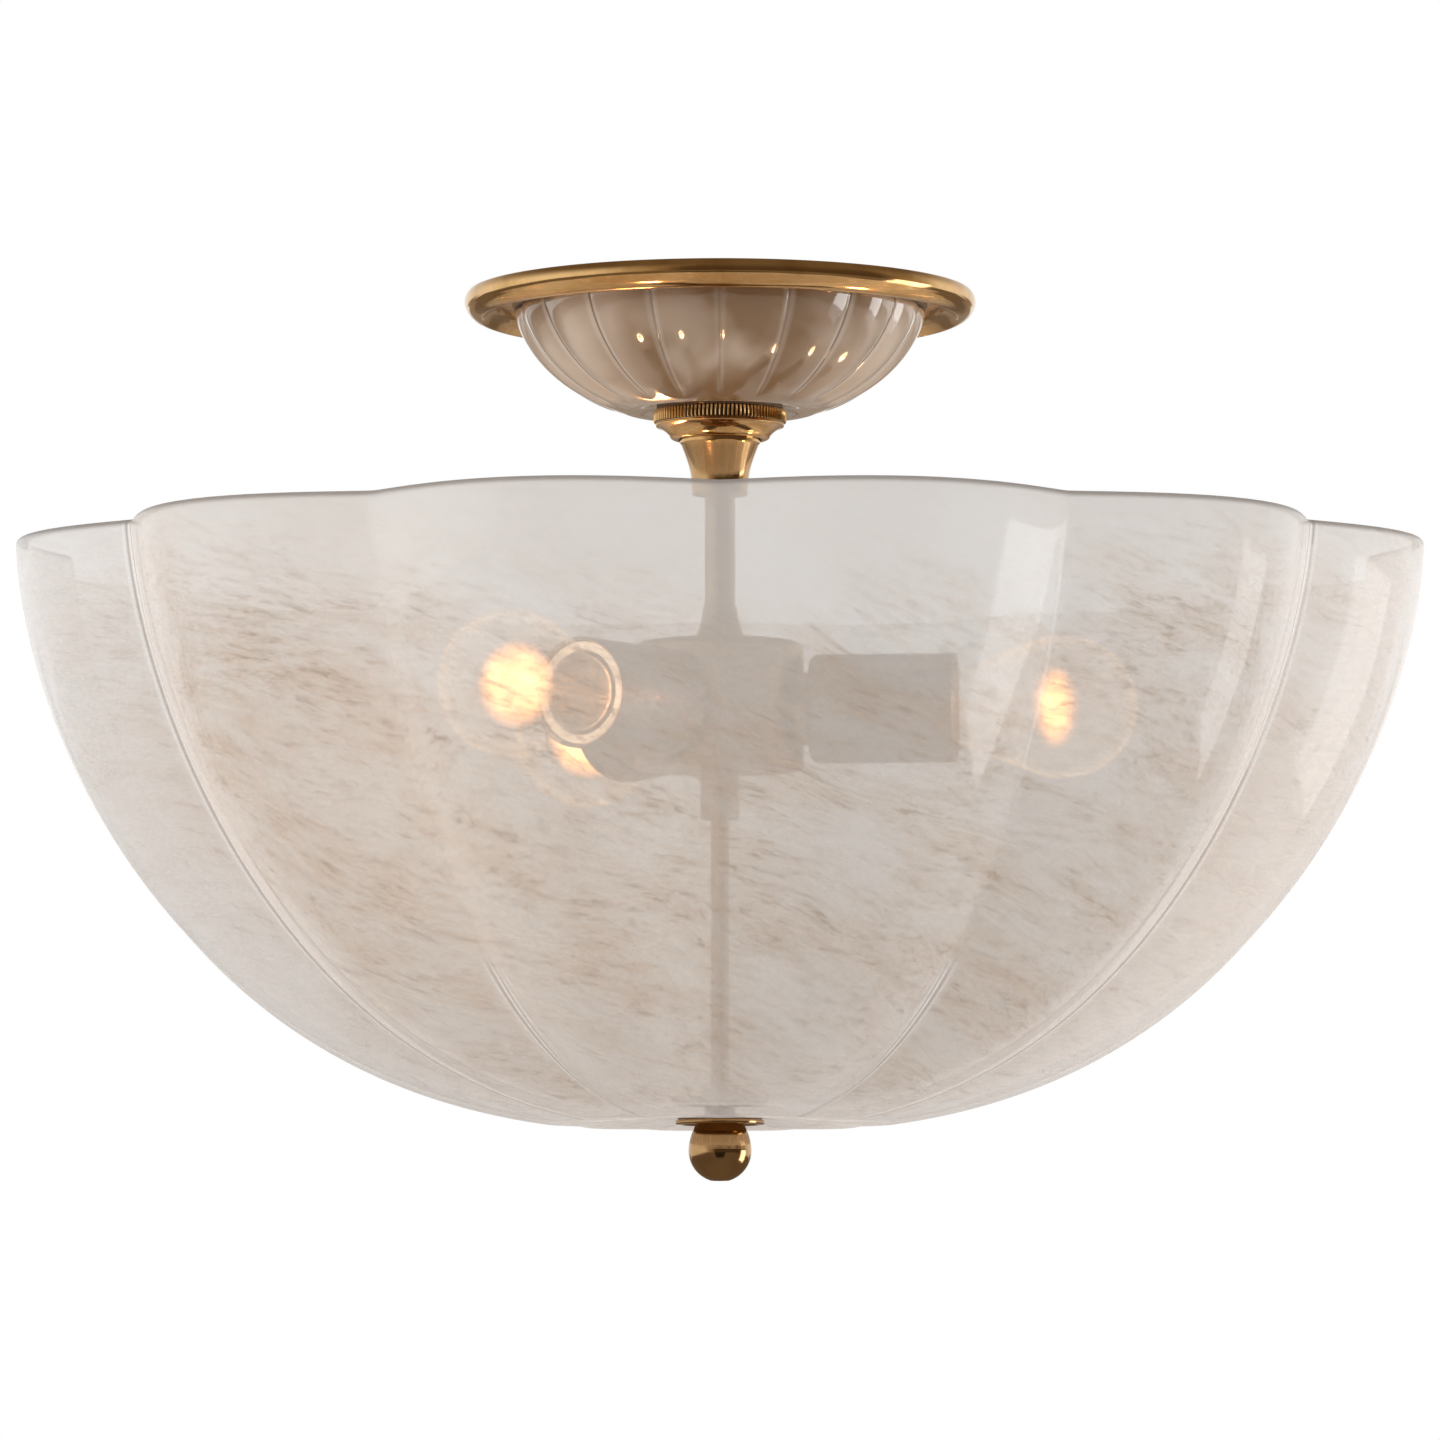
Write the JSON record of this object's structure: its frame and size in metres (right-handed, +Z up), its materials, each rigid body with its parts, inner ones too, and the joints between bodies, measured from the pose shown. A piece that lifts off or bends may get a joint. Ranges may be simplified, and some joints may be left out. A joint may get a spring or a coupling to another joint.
{
  "type": "semi-flush ceiling light",
  "caption": "Semi-flush ceiling light: a scalloped glass bowl hangs under a brass stem and a small fluted glass canopy, with lamps on a hub inside and a ball finial below.",
  "frame": {"origin": "centre of the strap's two slots in the ceiling plane, on the axis of the stem", "axes": "+Z up, out of the ceiling end of the stem; +X along the strap; -Y is the front of the picture"},
  "size_m": [0.463, 0.463, 0.2973],
  "materials": {
    "polished_brass": "polished brass, lightly aged in the hollows",
    "stem_brass": "satin brass",
    "cup_metal": "satin brass",
    "shade_glass": "milky streaked pressed glass, glossy",
    "canopy_glass": "taupe marbled pressed glass, glossy",
    "lamp_glass": "frosted lamp glass",
    "lamp_base": "bright rolled thread",
    "lamp_filament": "drawn wire on a glass stem",
    "screw_shell": "bright plated",
    "porcelain": "white glaze",
    "zinc_steel": "zinc plated",
    "ground_screw": "green passivated",
    "terminal_plastic": "moulded",
    "gasket_rubber": "matt",
    "live_wire": "insulated wire",
    "neutral_wire": "insulated wire",
    "ground_wire": "bare drawn wire and lug"
  },
  "bodies": {
    "stem": {"block_rivets": "zinc_steel", "centre_contacts": "screw_shell", "cluster_body": "stem_brass", "cluster_cover": "stem_brass", "ground_lead": "ground_wire", "ground_screw": "ground_screw", "hickey": "zinc_steel", "hub_cone": "stem_brass", "hub_terminal": "terminal_plastic", "live_lead": "live_wire", "live_socket_leads": "live_wire", "lock_nuts": "zinc_steel", "lock_washer": "zinc_steel", "lower_coupling": "stem_brass", "lower_nipple": "zinc_steel", "lower_rod": "stem_brass", "mounting_strap": "zinc_steel", "neck": "polished_brass", "neutral_lead": "neutral_wire", "neutral_socket_leads": "neutral_wire", "screw_shell_1": "screw_shell", "screw_shell_2": "screw_shell", "screw_shell_3": "screw_shell", "socket_body_1": "porcelain", "socket_body_2": "porcelain", "socket_body_3": "porcelain", "socket_cup_1": "cup_metal", "socket_cup_2": "cup_metal", "socket_cup_3": "cup_metal", "socket_nipples": "zinc_steel", "stem_tube": "stem_brass", "stop_nut": "zinc_steel", "terminal_block": "terminal_plastic", "terminal_screws": "zinc_steel", "threaded_collar": "stem_brass", "upper_nipple": "zinc_steel"},
    "canopy": {"canopy_ring": "polished_brass", "ring_gasket": "gasket_rubber", "canopy_glass": "canopy_glass", "canopy_gasket": "gasket_rubber"},
    "nut": {"ring_nut": "polished_brass"},
    "shade": {"shade_glass": "shade_glass", "upper_gasket": "gasket_rubber", "lower_gasket": "gasket_rubber", "inner_washer": "zinc_steel", "bottom_plate": "polished_brass"},
    "finial": {"ball_finial": "polished_brass"},
    "bulb_1": {"bulb_base_1": "lamp_base", "bulb_glass_1": "lamp_glass", "bulb_filament_1": "lamp_filament"},
    "bulb_2": {"bulb_base_2": "lamp_base", "bulb_glass_2": "lamp_glass", "bulb_filament_2": "lamp_filament"},
    "bulb_3": {"bulb_base_3": "lamp_base", "bulb_glass_3": "lamp_glass", "bulb_filament_3": "lamp_filament"}
  },
  "joints": [
    {"name": "canopy_drop", "type": "slide", "parent": "stem", "child": "canopy", "axis": [0, 0, 1], "range_m": [-0.05, 0]},
    {"name": "nut_turn", "type": "hinge", "parent": "canopy", "child": "nut", "pos_m": [0, 0, -0.044], "axis": [0, 0, 1], "continuous": true},
    {"name": "shade_drop", "type": "slide", "parent": "stem", "child": "shade", "axis": [0, 0, 1], "range_m": [-0.2, 0]},
    {"name": "finial_turn", "type": "hinge", "parent": "shade", "child": "finial", "pos_m": [0, 0, -0.2868], "axis": [0, 0, 1], "continuous": true},
    {"name": "bulb_1_draw", "type": "slide", "parent": "stem", "child": "bulb_1", "axis": [-0.5878, -0.809, 0], "range_m": [0, 0.03]},
    {"name": "bulb_2_draw", "type": "slide", "parent": "stem", "child": "bulb_2", "axis": [0.9945, -0.1045, 0], "range_m": [0, 0.03]},
    {"name": "bulb_3_draw", "type": "slide", "parent": "stem", "child": "bulb_3", "axis": [-0.4067, 0.9135, 0], "range_m": [0, 0.03]}
  ]
}
